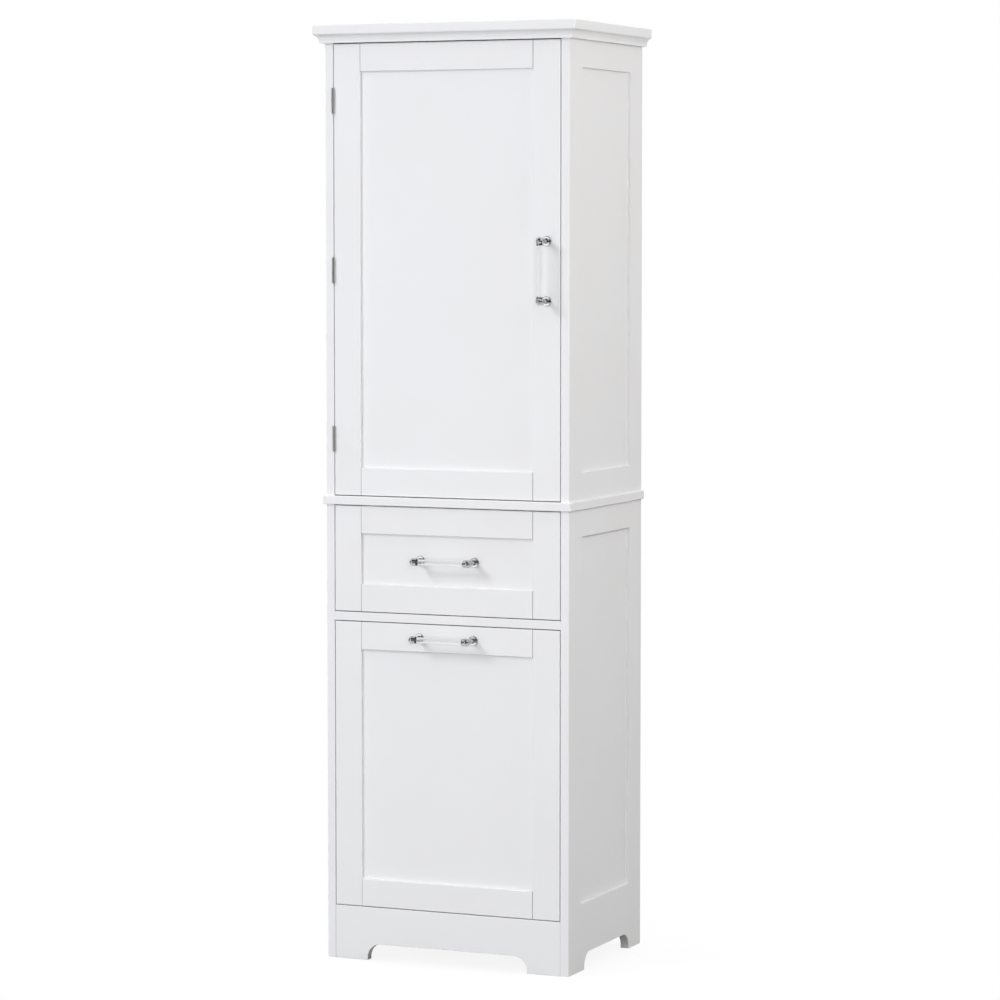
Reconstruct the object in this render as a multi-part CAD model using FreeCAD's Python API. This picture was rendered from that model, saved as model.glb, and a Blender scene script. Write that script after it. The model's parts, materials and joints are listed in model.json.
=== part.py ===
import FreeCAD, Part
import math
import os

# A tall linen cabinet: cupboard with a door on top, a drawer, and a tilt-out hamper below.
# Millimetres. X runs to the right, Y to the back and Z up; the origin is on the floor, under the middle.

# Carcass
carcass_width = 450.0
carcass_depth = 330.0
overall_height = 1600.0
board = 15.0
back_thickness = 5.0
back_rebate = 8.0
back_play = 0.3

# Top faces of the boards that split the height
mid_board_top = 800.0
divider_top = 601.0
floor_top = 92.0

# Crown slab, cove moulding and projecting middle board
crown_overhang = 17.0
slab_thickness = 17.0
slab_round = 3.5
cove_height = 13.0
cove_top_reach = 13.2
cove_foot_reach = 8.0
cove_lip = 2.5
cove_hollow = 1.3
mid_overhang = 5.0
edge_round = 1.5

# Sunk fields of the side boards
field_depth = 5.5
field_stile = 56.0
field_rail = 46.0
field_base = 115.0
corner_round = 2.0

# Arched feet
arch_height = 28.5
foot_step = 7.0
arch_run = 25.0
front_foot = 76.0
side_front_foot = 70.0
side_rear_foot = 55.0
rear_rail_height = 45.0

# Framed fronts: stiles and rails round a thin sunk panel
reveal = 1.5
stile_width = 49.0
rail_width = 47.0
panel_thickness = 6.0
panel_sink = 5.5
groove_depth = 6.0
groove_play = 0.1
arris = 0.8

# Shelves and their pins
shelf_count = 3
shelf_setback = 30.0
shelf_play = 1.0
shelf_pin_radius = 2.5
shelf_pin_depth = 9.0
shelf_pin_inset = 45.0
shelf_pin_pitch = 32.0
shelf_tab_length = 9.0
shelf_tab_width = 8.0
shelf_tab_height = 6.0

# Wall fixing
hanging_rail_height = 80.0
wall_hole_radius = 2.75
wall_hole_spacing = 300.0

# Door hinges
hinge_length = 42.0
hinge_inset = 96.0
knuckle_radius = 2.5
knuckle_gap = 0.3
hinge_pin_radius = 1.25
leaf_thickness = 1.0
leaf_depth = 12.0
pin_cap_radius = 2.0
pin_cap_height = 1.0

# Running play of every pin in its bore
pin_play = 0.05

# Magnetic catch
catch_width = 13.0
catch_depth = 12.0
catch_height = 40.0
catch_above_pull = 95.0
strike_thickness = 1.0
catch_gap = 0.3

# Pulls: two turned posts and a clear bar
pull_centres = 100.0
pull_reach = 30.0
rosette_radius = 8.5
rosette_height = 2.2
collar_radius = 6.2
collar_reach = 6.2
stem_radius = 4.0
head_radius = 6.75
bar_radius = 5.0
socket_depth = 4.0
screw_radius = 2.0
screw_bite = 10.0
screw_head_radius = 4.0
screw_head_height = 2.4

# Drawer box
box_board = 12.0
box_depth = 275.0
box_height = 120.0
box_lift = 12.0
box_bottom = 5.0
box_bottom_lift = 8.0
box_groove = 5.0

# Roller runners
runner_space = 12.5
runner_length = 260.0
runner_setback = 2.0
runner_web = 32.0
runner_steel = 1.2
runner_side_play = 1.1
runner_shelf = 11.0
roller_radius = 7.0
roller_width = 6.0
roller_play = 0.3
roller_inset = 10.0
axle_radius = 2.5
axle_head_radius = 4.0
axle_head = 0.8

# Tilt-out hamper
pivot_up = 30.0
pivot_pin_radius = 3.0
pivot_pin_hold = 20.0
pivot_pin_seat = 9.0
bush_radius = 5.0
bush_length = 10.0
bin_board = 12.0
bin_side_gap = 6.0
bin_lift = 7.0
bin_depth = 235.0
bin_front_top = 430.0
bin_back_top = 370.0
tilt_angle = 35.0
slot_radius = 280.0
slot_start = 8.0
slot_play = 0.5
stop_pin_radius = 4.0
stop_pin_seat = 10.0
stop_pin_past = 2.0

# How far a cutting tool runs past the face that it cuts, and how near counts as touching
overrun = 1.0
touch = 0.001

# Places worked out from the sizes above
half_width = carcass_width / 2
inner_half = half_width - board
front_half = inner_half - reveal
pull_projection = pull_reach + head_radius
y_front = (pull_projection - carcass_depth) / 2
y_back = y_front + carcass_depth
y_back_panel = y_back - back_thickness
y_front_rear = y_front + board
slab_bottom = overall_height - slab_thickness
crown_bottom = slab_bottom - cove_height
mid_bottom = mid_board_top - board
divider_bottom = divider_top - board
floor_bottom = floor_top - board
door_low = mid_board_top + reveal
door_high = crown_bottom - reveal
drawer_low = divider_top + reveal
drawer_high = mid_bottom - reveal
hamper_low = floor_top + reveal
hamper_high = divider_bottom - reveal
y_panel_face = y_front + panel_sink
y_panel_rear = y_panel_face + panel_thickness

# Middles of the three pulls
door_pull_x = front_half - stile_width / 2
door_pull_z = (door_low + door_high) / 2
drawer_pull_z = (drawer_low + drawer_high) / 2
hamper_pull_z = hamper_high - rail_width / 2

# Hinge axis of the door and pivot of the hamper
hinge_x = -inner_half + reveal / 2
hinge_y = y_front - knuckle_radius - knuckle_gap
hinge_levels = [door_low + hinge_inset, (door_low + door_high) / 2, door_high - hinge_inset]
pivot_y = y_front + board / 2
pivot_z = hamper_low + pivot_up

# Drawer box and runner places on the right side; the left side mirrors them
box_half = inner_half - runner_space
box_low = drawer_low + box_lift
box_end = y_front_rear + box_depth
runner_floor = box_low - runner_steel
runner_roof = runner_floor + 2 * (roller_radius + roller_play)
runner_front = y_front_rear + runner_setback
runner_end = runner_front + runner_length
roller_z = runner_floor + roller_play + roller_radius
cabinet_web_x = inner_half - runner_steel
drawer_web_x = box_half + runner_steel

# Hamper bin
bin_half = inner_half - bin_side_gap
bin_low = floor_top + bin_lift
bin_end = y_front_rear + bin_depth
stop_y = pivot_y + slot_radius * math.sin(math.radians(slot_start))
stop_z = pivot_z + slot_radius * math.cos(math.radians(slot_start))

X_AXIS = FreeCAD.Vector(1, 0, 0)
Y_AXIS = FreeCAD.Vector(0, 1, 0)
Z_AXIS = FreeCAD.Vector(0, 0, 1)


def block(x0, x1, y0, y1, z0, z1):
    """A box between two opposite corners."""
    return Part.makeBox(x1 - x0, y1 - y0, z1 - z0, FreeCAD.Vector(x0, y0, z0))


def cross_rod(radius, x0, x1, y, z):
    """A round bar that runs from side to side."""
    low = min(x0, x1)
    return Part.makeCylinder(radius, abs(x1 - x0), FreeCAD.Vector(low, y, z), X_AXIS)


def deep_rod(radius, y0, y1, x, z):
    """A round bar that runs from front to back."""
    low = min(y0, y1)
    return Part.makeCylinder(radius, abs(y1 - y0), FreeCAD.Vector(x, low, z), Y_AXIS)


def upright_rod(radius, z0, z1, x, y):
    """A round bar that stands upright."""
    return Part.makeCylinder(radius, z1 - z0, FreeCAD.Vector(x, y, z0), Z_AXIS)


def mirrored(shape):
    """The same shape on the other side of the cabinet's middle."""
    return shape.mirror(FreeCAD.Vector(0, 0, 0), X_AXIS)


def pair(shape):
    """A right-hand piece and its left-hand twin, as two solids."""
    return Part.makeCompound([shape, mirrored(shape)])


def lies_at(edge, axis, place):
    """True if the whole edge lies where that axis has that value."""
    box = edge.BoundBox
    low = getattr(box, axis + "Min")
    high = getattr(box, axis + "Max")
    return abs(low - place) < touch and abs(high - place) < touch


def eased(shape, radius, wanted):
    """The shape with the edges that the test picks rounded over."""
    return shape.makeFillet(radius, [edge for edge in shape.Edges if wanted(edge)])


def eased_front(shape):
    """The shape with the arrises of its front face eased."""
    return eased(shape, arris, lambda edge: lies_at(edge, "Y", y_front))


def prism(edges, way):
    """The solid swept by a closed outline of edges along a straight way."""
    return Part.Face(Part.Wire(edges)).extrude(way)


def line(start, end):
    """A straight edge between two points."""
    return Part.LineSegment(start, end).toShape()


def arc(start, middle, end):
    """A round edge through three points."""
    return Part.Arc(start, middle, end).toShape()


# Crown


def crown_slab():
    """The top slab, flush at the back and overhanging on the other three sides, rounder below than above."""
    reach = half_width + crown_overhang
    slab = block(-reach, reach, y_front - crown_overhang, y_back, slab_bottom, overall_height)

    def on_top(edge):
        return lies_at(edge, "Z", overall_height)

    def at_back(edge):
        return lies_at(edge, "Y", y_back)

    slab = eased(slab, slab_round, lambda edge: not on_top(edge) and not at_back(edge))
    return eased(slab, edge_round, lambda edge: on_top(edge) and not at_back(edge))


def cove_bar(corner, outward, along, length):
    """A straight length of cove moulding on a carcass face."""

    def at(reach, height):
        return corner + outward * reach + Z_AXIS * height

    rise = cove_height - cove_lip
    run = cove_top_reach - cove_foot_reach
    chord = math.hypot(run, rise)
    middle_reach = (cove_foot_reach + cove_top_reach) / 2 - cove_hollow * rise / chord
    middle_height = (cove_lip + cove_height) / 2 + cove_hollow * run / chord
    foot = at(cove_foot_reach, 0)
    lip = at(cove_foot_reach, cove_lip)
    brow = at(cove_top_reach, cove_height)
    edges = [
        line(at(0, 0), foot),
        line(foot, lip),
        arc(lip, at(middle_reach, middle_height), brow),
        line(brow, at(0, cove_height)),
        line(at(0, cove_height), at(0, 0)),
    ]
    return prism(edges, along * length)


def plan_prism(points):
    """An upright block over a plan outline, as tall as the cove and a little more."""
    corners = [FreeCAD.Vector(x, y, crown_bottom - overrun) for x, y in points]
    edges = [line(a, b) for a, b in zip(corners, corners[1:] + corners[:1])]
    return prism(edges, Z_AXIS * (cove_height + 2 * overrun))


def cove_front():
    """The front length of moulding, mitred at both ends."""
    reach = cove_top_reach + overrun
    corner = FreeCAD.Vector(-half_width - reach, y_front, crown_bottom)
    bar = cove_bar(corner, -Y_AXIS, X_AXIS, carcass_width + 2 * reach)
    mitres = [
        (-half_width - reach, y_front - reach),
        (half_width + reach, y_front - reach),
        (half_width, y_front),
        (-half_width, y_front),
    ]
    return bar.common(plan_prism(mitres))


def cove_right():
    """The right-hand length of moulding, mitred at the front and square at the back."""
    reach = cove_top_reach + overrun
    corner = FreeCAD.Vector(half_width, y_front - reach, crown_bottom)
    bar = cove_bar(corner, X_AXIS, Y_AXIS, carcass_depth + reach)
    mitre = [
        (half_width, y_front),
        (half_width + reach, y_front - reach),
        (half_width + reach, y_back),
        (half_width, y_back),
    ]
    return bar.common(plan_prism(mitre))


# Carcass boards


def side_blank(z0, z1, field_z0, field_z1):
    """A right-hand side board with its sunk outer field and the rebate for the back panel."""
    side = block(inner_half, half_width, y_front, y_back, z0, z1)
    side = eased(
        side, corner_round, lambda edge: lies_at(edge, "Y", y_front) and lies_at(edge, "X", half_width)
    )
    side = eased(side, arris, lambda edge: lies_at(edge, "Y", y_front) and lies_at(edge, "X", inner_half))
    field = block(
        half_width - field_depth,
        half_width + overrun,
        y_front + field_stile,
        y_back - field_stile,
        field_z0,
        field_z1,
    )
    rebate = block(
        inner_half - overrun,
        inner_half + back_rebate,
        y_back_panel,
        y_back + overrun,
        z0 - overrun,
        z1 + overrun,
    )
    return side.cut(field).cut(rebate)


def shelf_levels():
    """Undersides of the shelves, spaced evenly between the middle board and the top board."""
    clear = crown_bottom - mid_board_top - shelf_count * board
    space = clear / (shelf_count + 1)
    return [mid_board_top + (i + 1) * space + i * board for i in range(shelf_count)]


def shelf_pin_columns():
    """Front and rear places of the shelf pins."""
    return [y_front + shelf_setback + shelf_pin_inset, y_back_panel - shelf_pin_inset]


def upper_side_right():
    """The cupboard's right side, with three rows of pin holes about each shelf."""
    side = side_blank(mid_board_top, slab_bottom, mid_board_top + field_rail, crown_bottom - field_rail)
    holes = []
    for level in shelf_levels():
        for row in (-1, 0, 1):
            z = level - shelf_tab_height / 2 + row * shelf_pin_pitch
            for y in shelf_pin_columns():
                hole = cross_rod(
                    shelf_pin_radius + pin_play, inner_half - overrun, inner_half + shelf_pin_depth, y, z
                )
                holes.append(hole)
    return side.cut(holes)


def upper_side_left():
    """The cupboard's left side: the right side's twin, let in for the hinge leaves."""
    seats = [leaf_plate(z, -inner_half - leaf_thickness) for z in hinge_levels]
    return mirrored(upper_side_right()).cut(seats)


def foot_arch(start, end, across):
    """The open arch between two feet: a flat top with round shoulders over short upright steps."""
    rise = arch_height - foot_step
    radius = (arch_run**2 + rise**2) / (2 * rise)
    half_turn = math.asin(arch_run / radius) / 2
    middle_run = arch_run - radius * math.sin(half_turn)
    middle_height = arch_height - radius * (1 - math.cos(half_turn))
    along = (end - start).normalize()
    low = Z_AXIS * -overrun
    step = Z_AXIS * foot_step
    top = Z_AXIS * arch_height
    middle = Z_AXIS * middle_height
    edges = [
        line(start + low, start + step),
        arc(start + step, start + along * middle_run + middle, start + along * arch_run + top),
        line(start + along * arch_run + top, end - along * arch_run + top),
        arc(end - along * arch_run + top, end - along * middle_run + middle, end + step),
        line(end + step, end + low),
        line(end + low, start + low),
    ]
    return prism(edges, across)


def lower_side_right():
    """The lower right side, with its arched feet and the bores for the hamper's bush and stop pin."""
    side = side_blank(0, mid_bottom, field_base, mid_bottom - field_rail)
    arch = foot_arch(
        FreeCAD.Vector(inner_half - overrun, y_front + side_front_foot, 0),
        FreeCAD.Vector(inner_half - overrun, y_back - side_rear_foot, 0),
        X_AXIS * (board + 2 * overrun),
    )
    face = inner_half - overrun
    bush_bore = cross_rod(bush_radius + pin_play, face, inner_half + bush_length, pivot_y, pivot_z)
    stop_bore = cross_rod(stop_pin_radius + pin_play, face, inner_half + stop_pin_seat, stop_y, stop_z)
    return side.cut([arch, bush_bore, stop_bore])


def apron():
    """The front board under the hamper, arched between the feet."""
    front = block(-inner_half, inner_half, y_front, y_front_rear, 0, floor_top)
    arch = foot_arch(
        FreeCAD.Vector(-half_width + front_foot, y_front - overrun, 0),
        FreeCAD.Vector(half_width - front_foot, y_front - overrun, 0),
        Y_AXIS * (board + 2 * overrun),
    )
    return eased_front(front.cut(arch))


def mid_board():
    """The board between cupboard and drawer, standing proud at the front and both sides."""
    reach = half_width + mid_overhang
    shelf = block(-reach, reach, y_front - mid_overhang, y_back, mid_bottom, mid_board_top)
    return eased(shelf, edge_round, lambda edge: not lies_at(edge, "Y", y_back))


def inner_board(z0, z1, y0=y_front, y1=y_back_panel):
    """A level or upright board between the two sides."""
    return block(-inner_half, inner_half, y0, y1, z0, z1)


def front_edged(shape):
    """A board whose front edge shows between the fronts, with that edge eased."""
    long_edges = [edge for edge in shape.Edges if lies_at(edge, "Y", y_front) and edge.Length > board + 1]
    return shape.makeFillet(arris, long_edges)


def wall_holes():
    """The two holes for wall screws, through the hanging rail and the back panel."""
    z = crown_bottom - hanging_rail_height / 2
    y0 = y_back_panel - board - overrun
    y1 = y_back + overrun
    reach = wall_hole_spacing / 2
    return [deep_rod(wall_hole_radius, y0, y1, x, z) for x in (-reach, reach)]


def hanging_rail():
    """The rail under the top board that takes the wall screws."""
    rail = inner_board(crown_bottom - hanging_rail_height, crown_bottom, y_back_panel - board)
    return rail.cut(wall_holes())


def back_panel(z0, z1):
    """A thin back panel in the rebates of the two sides."""
    reach = inner_half + back_rebate - back_play
    return block(-reach, reach, y_back_panel, y_back, z0, z1)


def shelf(level):
    """One loose shelf, clear of the sides and of the back."""
    reach = inner_half - shelf_play
    plate = block(-reach, reach, y_front + shelf_setback, y_back_panel - shelf_play, level, level + board)
    return eased(plate, arris, lambda edge: lies_at(edge, "Y", y_front + shelf_setback))


def shelf_pins():
    """The pins that carry the shelves: a peg in the side board and a flat tab under the shelf."""
    pins = []
    for level in shelf_levels():
        z = level - shelf_tab_height / 2
        for y in shelf_pin_columns():
            tip = inner_half + shelf_pin_depth - overrun
            peg = cross_rod(shelf_pin_radius, inner_half - shelf_tab_length / 2, tip, y, z)
            tab = block(
                inner_half - shelf_tab_length,
                inner_half,
                y - shelf_tab_width / 2,
                y + shelf_tab_width / 2,
                level - shelf_tab_height,
                level,
            )
            pin = peg.fuse(tab).removeSplitter()
            pins += [pin, mirrored(pin)]
    return Part.makeCompound(pins)


# Framed fronts


def panel_groove(z0, z1):
    """The groove round the inside of a front's frame, as one plate to cut from its pieces."""
    reach = front_half - stile_width + groove_depth
    inset = rail_width - groove_depth
    y0 = y_panel_face - groove_play
    y1 = y_panel_rear + groove_play
    return block(-reach, reach, y0, y1, z0 + inset, z1 - inset)


def front_stiles(z0, z1):
    """The two upright pieces of a front, as tall as the front."""
    stile = block(front_half - stile_width, front_half, y_front, y_front_rear, z0, z1)
    return pair(eased_front(stile).cut(panel_groove(z0, z1)))


def front_rails(z0, z1):
    """The two level pieces of a front, between its stiles."""
    reach = front_half - stile_width
    rails = []
    for low in (z0, z1 - rail_width):
        rail = block(-reach, reach, y_front, y_front_rear, low, low + rail_width)
        rails.append(eased_front(rail).cut(panel_groove(z0, z1)))
    return Part.makeCompound(rails)


def front_panel(z0, z1):
    """The thin sunk panel of a front, held in the frame's groove."""
    edge = groove_depth - groove_play
    reach = front_half - stile_width + edge
    inset = rail_width - edge
    return block(-reach, reach, y_panel_face, y_panel_rear, z0 + inset, z1 - inset)


# Pulls


def pull_spots(x, z, along):
    """The middles of a pull's two posts."""
    middle = FreeCAD.Vector(x, 0, z)
    return [middle - along * (pull_centres / 2), middle + along * (pull_centres / 2)]


def pull_posts(x, z, y_face, along):
    """Two turned posts: rosette, stem, round head and the collar that holds the bar."""
    posts = []
    for spot, inward in zip(pull_spots(x, z, along), (along, -along)):
        foot = FreeCAD.Vector(spot.x, y_face, spot.z)
        head_middle = foot - Y_AXIS * pull_reach
        rosette = Part.makeCylinder(rosette_radius, rosette_height, foot, -Y_AXIS)
        rosette = eased(rosette, arris, lambda edge: lies_at(edge, "Y", y_face - rosette_height))
        step = Part.makeCylinder(collar_radius, 2 * rosette_height, foot, -Y_AXIS)
        stem = Part.makeCylinder(stem_radius, pull_reach, foot, -Y_AXIS)
        head = Part.makeSphere(head_radius, head_middle, inward)
        collar = Part.makeCylinder(collar_radius, collar_reach, head_middle, inward)
        post = rosette.fuse([step, stem, head, collar]).removeSplitter()
        seat = head_middle + inward * (collar_reach - socket_depth)
        socket = Part.makeCylinder(bar_radius + pin_play, socket_depth + overrun, seat, inward)
        thread = deep_rod(screw_radius + pin_play, y_face - screw_bite, y_face + overrun, spot.x, spot.z)
        posts.append(post.cut([socket, thread]))
    return Part.makeCompound(posts)


def pull_bar(x, z, y_face, along):
    """The clear bar between the two collars."""
    start = pull_spots(x, z, along)[0]
    seat = collar_reach - socket_depth + pin_play
    foot = FreeCAD.Vector(start.x, y_face - pull_reach, start.z) + along * seat
    return Part.makeCylinder(bar_radius, pull_centres - 2 * seat, foot, along)


def pull_screw_holes(x, z, along):
    """Holes through a front for the pull's screws."""
    y0 = y_front - overrun
    y1 = y_front_rear + overrun
    return [deep_rod(screw_radius + pin_play, y0, y1, spot.x, spot.z) for spot in pull_spots(x, z, along)]


def pull_screws(x, z, y_face, y_rear, along):
    """The pull's screws, from the back of the front into the posts."""
    screws = []
    for spot in pull_spots(x, z, along):
        y_end = y_rear + screw_head_height
        shank = deep_rod(screw_radius, y_rear, y_face - screw_bite + overrun, spot.x, spot.z)
        head = deep_rod(screw_head_radius, y_rear, y_end, spot.x, spot.z)
        head = eased(head, arris, lambda edge: lies_at(edge, "Y", y_end))
        screws.append(shank.fuse(head).removeSplitter())
    return Part.makeCompound(screws)


# Door hardware


def leaf_plate(z, x0):
    """A flat hinge leaf from the knuckle's middle back into the gap beside the door."""
    half = hinge_length / 2
    return block(x0, x0 + leaf_thickness, hinge_y, y_front + leaf_depth, z - half, z + half)


def knuckle_zones(z):
    """Low and high ends of a hinge's three knuckles, from the bottom up."""
    third = (hinge_length - 2 * knuckle_gap) / 3
    low = z - hinge_length / 2
    return [(low + i * (third + knuckle_gap), low + i * (third + knuckle_gap) + third) for i in range(3)]


def hinge_leaf(z, x0, own, others):
    """One leaf with its own knuckles, cut clear of the other leaf's knuckles and bored for the pin."""
    zones = knuckle_zones(z)
    knuckles = [upright_rod(knuckle_radius, *zones[i], hinge_x, hinge_y) for i in own]
    clear = []
    for i in others:
        low, high = zones[i]
        room = knuckle_radius + knuckle_gap
        clear.append(upright_rod(room, low - knuckle_gap, high + knuckle_gap, hinge_x, hinge_y))
    low = zones[0][0] - overrun
    high = zones[2][1] + overrun
    bore = upright_rod(hinge_pin_radius + pin_play, low, high, hinge_x, hinge_y)
    return leaf_plate(z, x0).cut(clear).fuse(knuckles).removeSplitter().cut(bore)


def hinge_frame_leaves():
    """The three leaves let into the cupboard's left side, each with two knuckles."""
    x0 = -inner_half - leaf_thickness
    return Part.makeCompound([hinge_leaf(z, x0, (0, 2), (1,)) for z in hinge_levels])


def hinge_door_leaves():
    """The three leaves let into the door's edge, each with the middle knuckle."""
    return Part.makeCompound([hinge_leaf(z, -front_half, (1,), (0, 2)) for z in hinge_levels])


def hinge_pins():
    """The three hinge pins, with a round cap at each end."""
    pins = []
    for z in hinge_levels:
        low = z - hinge_length / 2
        high = z + hinge_length / 2
        pin = upright_rod(hinge_pin_radius, low, high, hinge_x, hinge_y)
        caps = [
            upright_rod(pin_cap_radius, low - pin_cap_height, low, hinge_x, hinge_y),
            upright_rod(pin_cap_radius, high, high + pin_cap_height, hinge_x, hinge_y),
        ]
        pins.append(pin.fuse(caps).removeSplitter())
    return Part.makeCompound(pins)


def door_stiles():
    """The door's stiles: the left one let in for the hinge leaves, the right one drilled for the pull."""
    stiles = front_stiles(door_low, door_high)
    cuts = [leaf_plate(z, -front_half) for z in hinge_levels]
    cuts += pull_screw_holes(door_pull_x, door_pull_z, Z_AXIS)
    return stiles.cut(cuts)


def strike_plate():
    """The steel plate on the back of the door that the catch holds."""
    low = door_pull_z + catch_above_pull - catch_height / 2
    y1 = y_front_rear + strike_thickness
    return block(front_half - catch_width, front_half, y_front_rear, y1, low, low + catch_height)


def door_catch():
    """The magnetic catch on the inside of the cupboard's right side."""
    low = door_pull_z + catch_above_pull - catch_height / 2
    y0 = y_front_rear + strike_thickness + catch_gap
    case = block(inner_half - catch_width, inner_half, y0, y0 + catch_depth, low, low + catch_height)
    return eased(case, arris, lambda edge: lies_at(edge, "X", inner_half - catch_width))


# Drawer


def drawer_side_right():
    """A drawer side, grooved for the bottom."""
    side = block(box_half - box_board, box_half, y_front_rear, box_end, box_low, box_low + box_height)
    return side.cut(drawer_bottom(groove_play))


def drawer_bottom(play=0.0):
    """The drawer's bottom panel, or with play the room that its groove gives it."""
    reach = box_half - box_board + box_groove + play
    low = box_low + box_bottom_lift
    return block(-reach, reach, y_front_rear, box_end, low - play, low + box_bottom + play)


def drawer_back():
    """The drawer's back board, standing on the bottom panel between the sides."""
    reach = box_half - box_board
    low = box_low + box_bottom_lift + box_bottom
    return block(-reach, reach, box_end - box_board, box_end, low, box_low + box_height)


def axle(x_web, x_tip, y):
    """A riveted axle with a flat head, from a runner's web to its tip."""
    inward = 1 if x_tip > x_web else -1
    pin = cross_rod(axle_radius, x_web, x_tip, y, roller_z)
    head = cross_rod(axle_head_radius, x_tip - inward * axle_head, x_tip, y, roller_z)
    return pin.fuse(head)


def axle_span():
    """Length of a roller axle: the roller, its play on both sides and the head."""
    return roller_width + 2 * roller_play + axle_head


def front_roller_y():
    """Place of the rollers on the cabinet runners."""
    return runner_front + roller_inset


def rear_roller_y():
    """Place of the rollers on the drawer runners, with the drawer shut."""
    return runner_end - roller_inset


def cabinet_runner():
    """The right-hand cabinet runner: an upright web, a floor for the rear roller and the front axle."""
    low = runner_floor - runner_steel
    web = block(cabinet_web_x, inner_half, runner_front, runner_end, low, low + runner_web)
    floor = block(drawer_web_x + runner_side_play, inner_half, runner_front, runner_end, low, runner_floor)
    pin = axle(cabinet_web_x, cabinet_web_x - axle_span(), front_roller_y())
    return web.fuse([floor, pin]).removeSplitter()


def drawer_runner():
    """The right-hand drawer runner: a ledge under the drawer side, a web, a roof and the rear axle."""
    low = box_low - runner_steel
    web = block(box_half, drawer_web_x, y_front_rear, runner_end, low, runner_roof + runner_steel)
    ledge = block(box_half - runner_shelf, drawer_web_x, y_front_rear, runner_end, low, box_low)
    roof_edge = cabinet_web_x - runner_side_play
    roof = block(box_half, roof_edge, y_front_rear, runner_end, runner_roof, runner_roof + runner_steel)
    pin = axle(drawer_web_x, drawer_web_x + axle_span(), rear_roller_y())
    return web.fuse([ledge, roof, pin]).removeSplitter()


def roller(x0, y):
    """A grooveless nylon roller on its axle."""
    x1 = x0 + roller_width
    wheel = cross_rod(roller_radius, x0, x1, y, roller_z)
    wheel = eased(wheel, arris, lambda edge: edge.Curve.TypeId == "Part::GeomCircle")
    return wheel.cut(cross_rod(axle_radius + pin_play, x0 - overrun, x1 + overrun, y, roller_z))


def front_rollers():
    """The rollers that turn on the cabinet runners."""
    return pair(roller(cabinet_web_x - roller_play - roller_width, front_roller_y()))


def rear_rollers():
    """The rollers that turn on the drawer runners."""
    return pair(roller(drawer_web_x + roller_play, rear_roller_y()))


# Hamper


def around_pivot(radius, angle, x):
    """A point at that distance from the pivot, turned back from upright by that angle in degrees."""
    turn = math.radians(angle)
    return FreeCAD.Vector(x, pivot_y + radius * math.sin(turn), pivot_z + radius * math.cos(turn))


def stop_slot(x):
    """The curved slot, centred on the pivot, that the stop pin runs along."""
    half = stop_pin_radius + slot_play
    start = slot_start
    end = slot_start + tilt_angle
    middle = (start + end) / 2
    cap = math.degrees(half / slot_radius)
    edges = [
        arc(*(around_pivot(slot_radius + half, angle, x) for angle in (start, middle, end))),
        arc(
            around_pivot(slot_radius + half, end, x),
            around_pivot(slot_radius, end + cap, x),
            around_pivot(slot_radius - half, end, x),
        ),
        arc(*(around_pivot(slot_radius - half, angle, x) for angle in (end, middle, start))),
        arc(
            around_pivot(slot_radius - half, start, x),
            around_pivot(slot_radius, start - cap, x),
            around_pivot(slot_radius + half, start, x),
        ),
    ]
    return prism(edges, X_AXIS * (bin_board + 2 * overrun))


def bin_side_right():
    """A side of the hamper bin: lower at the back, so that it clears the divider, with its stop slot."""
    x0 = bin_half - bin_board
    corners = [
        FreeCAD.Vector(x0, y_front_rear, bin_low),
        FreeCAD.Vector(x0, bin_end, bin_low),
        FreeCAD.Vector(x0, bin_end, pivot_z + bin_back_top),
        FreeCAD.Vector(x0, y_front_rear, pivot_z + bin_front_top),
    ]
    edges = [line(a, b) for a, b in zip(corners, corners[1:] + corners[:1])]
    return prism(edges, X_AXIS * bin_board).cut(stop_slot(x0 - overrun))


def bin_back():
    """The hamper bin's back board."""
    reach = bin_half - bin_board
    return block(-reach, reach, bin_end - bin_board, bin_end, bin_low, pivot_z + bin_back_top)


def bin_bottom():
    """The hamper bin's bottom board."""
    reach = bin_half - bin_board
    return block(-reach, reach, y_front_rear, bin_end - bin_board, bin_low, bin_low + bin_board)


def hamper_stiles():
    """The hamper front's stiles, bored in their edges for the pivot pins."""
    stiles = front_stiles(hamper_low, hamper_high)
    x0 = front_half - pivot_pin_hold
    bore = cross_rod(pivot_pin_radius + pin_play, x0, front_half + overrun, pivot_y, pivot_z)
    return stiles.cut([bore, mirrored(bore)])


def pivot_pins():
    """The two steel pins that the hamper turns on."""
    x0 = front_half - pivot_pin_hold
    return pair(cross_rod(pivot_pin_radius, x0, inner_half + pivot_pin_seat, pivot_y, pivot_z))


def pivot_bushes():
    """The two nylon bushes in the cabinet's sides that the pivot pins turn in."""
    x1 = inner_half + bush_length
    bush = cross_rod(bush_radius, inner_half, x1, pivot_y, pivot_z)
    bore = cross_rod(pivot_pin_radius + pin_play, inner_half - overrun, x1 + overrun, pivot_y, pivot_z)
    return pair(bush.cut(bore))


def stop_pins():
    """The two fixed pins that end the hamper's travel."""
    tip = bin_half - bin_board - stop_pin_past
    return pair(cross_rod(stop_pin_radius, tip, inner_half + stop_pin_seat, stop_y, stop_z))


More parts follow.
